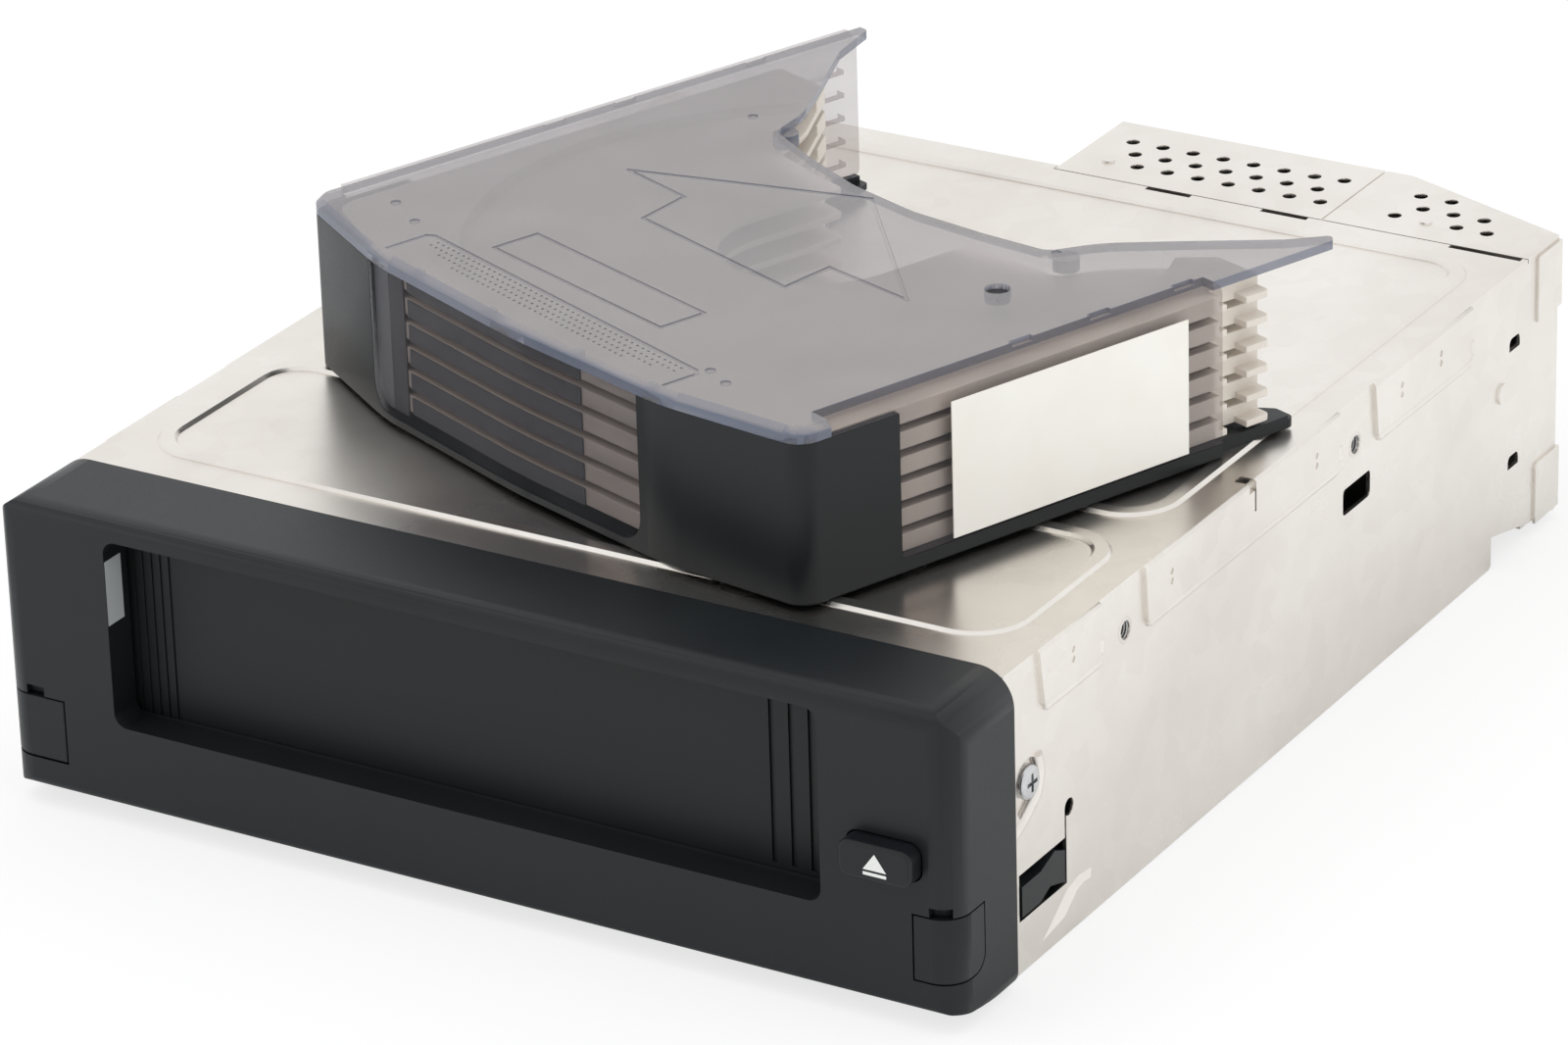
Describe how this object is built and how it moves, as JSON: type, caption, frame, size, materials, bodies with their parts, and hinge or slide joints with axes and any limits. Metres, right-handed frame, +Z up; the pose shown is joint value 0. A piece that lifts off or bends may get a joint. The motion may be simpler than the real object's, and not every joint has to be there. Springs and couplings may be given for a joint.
{
  "type": "car disc changer with magazine",
  "caption": "Car audio disc changer: steel box with a black fascia and sliding door, lift deck inside, and a smoky disc magazine standing on its cover.",
  "frame": {"origin": "mid-width on the underside, in line with the front pair of side mounting holes", "axes": "+X right seen from the front, +Y towards the back, +Z up; the fascia faces -Y"},
  "size_m": [0.1824, 0.239, 0.0858],
  "materials": {
    "black_abs": "fine-textured moulded black ABS",
    "grey_pad": "light grey moulding",
    "board_dark": "small glass-epoxy board",
    "black_pom": "black acetal",
    "zinc_steel": "galvanised sheet steel, bright",
    "bright_steel": "polished steel",
    "white_pom": "natural acetal",
    "spring_steel": "spring wire",
    "board_green": "glass-epoxy board with green resist",
    "chip_black": "moulded epoxy packages",
    "motor_steel": "nickel-plated motor can",
    "brass": "machined brass",
    "lens": "coated lens",
    "smoky_pc": "smoke-grey transparent polycarbonate",
    "paper": "blank cream paper label",
    "cream_ps": "cream moulded polystyrene"
  },
  "bodies": {
    "chassis": {"fascia": "black_abs", "recess_pad": "grey_pad", "eject_switch": "board_dark", "door_tracks": "black_pom", "top_cover": "zinc_steel", "rear_cover": "zinc_steel", "base_plate": "zinc_steel", "side_plate_right": "zinc_steel", "side_plate_left": "zinc_steel", "rear_plate": "zinc_steel", "chassis_screws": "bright_steel", "rear_connector": "black_pom", "bay_floor": "zinc_steel", "bay_rail_right": "black_pom", "bay_rail_left": "black_pom", "main_board": "board_green", "board_components": "chip_black", "cam_rails": "black_pom", "shaft_bearings": "black_pom", "elevator_motor": "motor_steel"},
    "cover_left": {"screw_cover_left": "black_abs"},
    "cover_right": {"screw_cover_right": "black_abs"},
    "button": {"eject_button": "black_abs"},
    "door": {"door_leading_edge": "black_abs", "door_sheet": "black_abs"},
    "ejector": {"eject_slider": "white_pom", "eject_spring": "spring_steel"},
    "cam_right": {"cam_plate_right": "zinc_steel"},
    "cam_left": {"cam_plate_left": "zinc_steel"},
    "lift_shaft": {"sync_shaft": "bright_steel", "sync_pinions": "white_pom", "shaft_gear": "white_pom"},
    "lift_pinion": {"elevator_pinion": "brass"},
    "deck": {"deck_frame": "zinc_steel", "spindle_motor": "motor_steel", "guide_rods": "bright_steel", "sled_motor": "motor_steel", "puller_motor": "motor_steel", "clamp_hinge_pin": "bright_steel"},
    "spindle": {"turntable": "black_pom"},
    "sled": {"pickup_sled": "black_pom", "pickup_lens": "lens"},
    "sled_screw": {"lead_screw": "bright_steel"},
    "puller": {"puller_bar": "white_pom"},
    "puller_gear": {"puller_pinion": "white_pom"},
    "arm": {"clamp_arm": "zinc_steel"},
    "clamp": {"disc_clamp": "black_pom"},
    "magazine": {"magazine_base": "black_abs", "magazine_lid": "smoky_pc", "magazine_front_window": "smoky_pc", "magazine_side_right": "smoky_pc", "magazine_side_left": "smoky_pc", "magazine_label": "paper"},
    "disc_tray_1": {"tray_1": "cream_ps"},
    "disc_tray_2": {"tray_2": "cream_ps"},
    "disc_tray_3": {"tray_3": "cream_ps"},
    "disc_tray_4": {"tray_4": "cream_ps"},
    "disc_tray_5": {"tray_5": "cream_ps"},
    "disc_tray_6": {"tray_6": "cream_ps"}
  },
  "joints": [
    {"name": "left_cover_pull", "type": "slide", "parent": "chassis", "child": "cover_left", "axis": [0, -1, 0], "range_m": [0, 0.012]},
    {"name": "right_cover_pull", "type": "slide", "parent": "chassis", "child": "cover_right", "axis": [0, -1, 0], "range_m": [0, 0.012]},
    {"name": "eject_button_press", "type": "slide", "parent": "chassis", "child": "button", "axis": [0, 1, 0], "range_m": [0, 0.0015], "stiffness_N_per_m": 900, "springref_m": -0.001},
    {"name": "door_slide", "type": "slide", "parent": "chassis", "child": "door", "axis": [-1, 0, 0], "range_m": [0, 0.1365], "deforming": ["door_sheet"]},
    {"name": "eject_slide", "type": "slide", "parent": "chassis", "child": "ejector", "axis": [0, -1, 0], "range_m": [0, 0.02], "stiffness_N_per_m": 60, "springref_m": -0.005, "deforming": ["eject_spring"]},
    {"name": "deck_lift", "type": "slide", "parent": "chassis", "child": "deck", "axis": [0, 0, 1], "range_m": [0, 0.02225]},
    {"name": "right_cam_slide", "type": "slide", "parent": "chassis", "child": "cam_right", "axis": [0, -1, 0], "range_m": [0, 0.024]},
    {"name": "left_cam_slide", "type": "slide", "parent": "chassis", "child": "cam_left", "axis": [0, -1, 0], "range_m": [0, 0.024]},
    {"name": "lift_shaft_turn", "type": "hinge", "parent": "chassis", "child": "lift_shaft", "pos_m": [0, 0.105, 0.007], "axis": [1, 0, 0], "range_deg": [0, 286.6]},
    {"name": "lift_pinion_turn", "type": "hinge", "parent": "chassis", "child": "lift_pinion", "pos_m": [0.06, 0.098, 0.007], "axis": [1, 0, 0], "range_deg": [-859.6, 0]},
    {"name": "turntable_spin", "type": "hinge", "parent": "deck", "child": "spindle", "pos_m": [-0.001, 0.08, 0.0215], "axis": [0, 0, 1], "continuous": true},
    {"name": "sled_travel", "type": "slide", "parent": "deck", "child": "sled", "axis": [0, 1, 0], "range_m": [0, 0.032]},
    {"name": "lead_screw_turn", "type": "hinge", "parent": "deck", "child": "sled_screw", "pos_m": [0.0245, 0.119, 0.0135], "axis": [0, 1, 0], "range_deg": [0, 3840.5]},
    {"name": "puller_travel", "type": "slide", "parent": "deck", "child": "puller", "axis": [0, 1, 0], "range_m": [0, 0.056]},
    {"name": "puller_pinion_turn", "type": "hinge", "parent": "deck", "child": "puller_gear", "pos_m": [0.076, 0.09, 0.0225], "axis": [0, 0, -1], "range_deg": [0, 1069.9]},
    {"name": "clamp_arm_lift", "type": "hinge", "parent": "deck", "child": "arm", "pos_m": [0, 0.1434, 0.0272], "axis": [-1, 0, 0], "range_deg": [0, 1.8]},
    {"name": "clamp_spin", "type": "hinge", "parent": "arm", "child": "clamp", "pos_m": [-0.001, 0.08, 0.026], "axis": [0, 0, 1], "continuous": true},
    {"name": "magazine_lift_off", "type": "slide", "parent": "chassis", "child": "magazine", "axis": [0, 0, 1], "range_m": [0, 0.08]},
    {"name": "tray_1_slide", "type": "slide", "parent": "magazine", "child": "disc_tray_1", "axis": [0.358, 0.9337, 0], "range_m": [0, 0.056]},
    {"name": "tray_2_slide", "type": "slide", "parent": "magazine", "child": "disc_tray_2", "axis": [0.358, 0.9337, 0], "range_m": [0, 0.056]},
    {"name": "tray_3_slide", "type": "slide", "parent": "magazine", "child": "disc_tray_3", "axis": [0.358, 0.9337, 0], "range_m": [0, 0.056]},
    {"name": "tray_4_slide", "type": "slide", "parent": "magazine", "child": "disc_tray_4", "axis": [0.358, 0.9337, 0], "range_m": [0, 0.056]},
    {"name": "tray_5_slide", "type": "slide", "parent": "magazine", "child": "disc_tray_5", "axis": [0.358, 0.9337, 0], "range_m": [0, 0.056]},
    {"name": "tray_6_slide", "type": "slide", "parent": "magazine", "child": "disc_tray_6", "axis": [0.358, 0.9337, 0], "range_m": [0, 0.056]}
  ],
  "couplings": [
    {"joint": "right_cam_slide", "follows": "deck_lift", "ratio": 1.0787},
    {"joint": "left_cam_slide", "follows": "deck_lift", "ratio": 1.0787},
    {"joint": "lift_shaft_turn", "follows": "deck_lift", "rad_per_m": 224.72},
    {"joint": "lift_pinion_turn", "follows": "deck_lift", "rad_per_m": -674.16},
    {"joint": "lead_screw_turn", "follows": "sled_travel", "rad_per_m": 2094.4},
    {"joint": "puller_pinion_turn", "follows": "puller_travel", "rad_per_m": 333.33}
  ]
}
